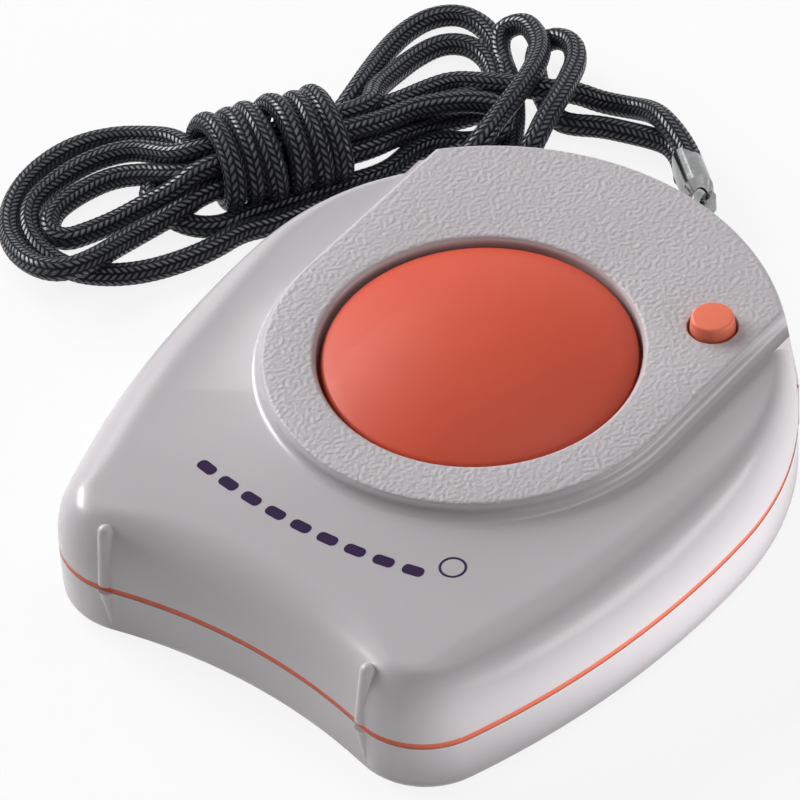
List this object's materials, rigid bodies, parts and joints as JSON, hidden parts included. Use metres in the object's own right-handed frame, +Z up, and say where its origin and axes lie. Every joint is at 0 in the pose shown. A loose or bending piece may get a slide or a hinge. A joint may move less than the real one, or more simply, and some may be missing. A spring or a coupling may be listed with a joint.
{
  "type": "wireless panic button",
  "caption": "Pale grey pendant alarm with a large domed orange button, a small cancel button, an orange seal line and a tied black neck cord",
  "frame": {"origin": "On the rest face (the flat underside), under the centre of the large button", "axes": "X right along the front edge, Y to the back where the cord is held, Z up out of the button"},
  "size_m": [0.1056, 0.1033, 0.0192],
  "materials": {
    "case_grey": "pale grey moulded plastic, fine texture on the platform, glossy shoulders",
    "signal_orange": "orange-red moulded plastic, smooth",
    "spring_steel": "plain steel",
    "switch_black": "black moulded plastic",
    "board_green": "green solder resist",
    "chip_black": "black epoxy",
    "can_nickel": "nickel plated steel",
    "wire_brass": "tinned brass wire",
    "fitting_steel": "plated steel with light wear",
    "cord_black": "fine braided cord"
  },
  "bodies": {
    "case": {"upper_shell": "case_grey", "lower_shell": "case_grey", "seal_ring": "signal_orange", "panic_switch": "switch_black", "cancel_switch": "switch_black", "circuit_board": "board_green", "controller_chip": "chip_black", "radio_resonator": "can_nickel", "radio_crystal": "can_nickel", "chip_parts": "chip_black", "antenna_loop": "wire_brass", "coin_cell": "can_nickel", "cell_holder": "switch_black", "cell_top_contact": "spring_steel", "cell_side_contact": "spring_steel", "case_screws": "spring_steel", "cord_ring": "fitting_steel", "cord_ferrule": "fitting_steel", "cord_leg_far": "cord_black", "cord_leg_near": "cord_black", "cord_hank": "cord_black", "button_spring": "spring_steel"},
    "panic": {"panic_button": "signal_orange", "panic_plunger": "switch_black"},
    "cancel": {"cancel_button": "signal_orange", "cancel_plunger": "switch_black"},
    "door": {"battery_door": "case_grey"}
  },
  "joints": [
    {"name": "press_panic", "type": "slide", "parent": "case", "child": "panic", "axis": [0, 0, -1], "range_m": [0, 0.0006], "stiffness_N_per_m": 4000, "deforming": ["button_spring"]},
    {"name": "press_cancel", "type": "slide", "parent": "case", "child": "cancel", "axis": [0, 0, -1], "range_m": [0, 0.0004], "stiffness_N_per_m": 2500},
    {"name": "turn_door", "type": "hinge", "parent": "case", "child": "door", "pos_m": [0, -0.014, 0.001], "axis": [0, 0, 1], "range_deg": [0, 40]}
  ]
}
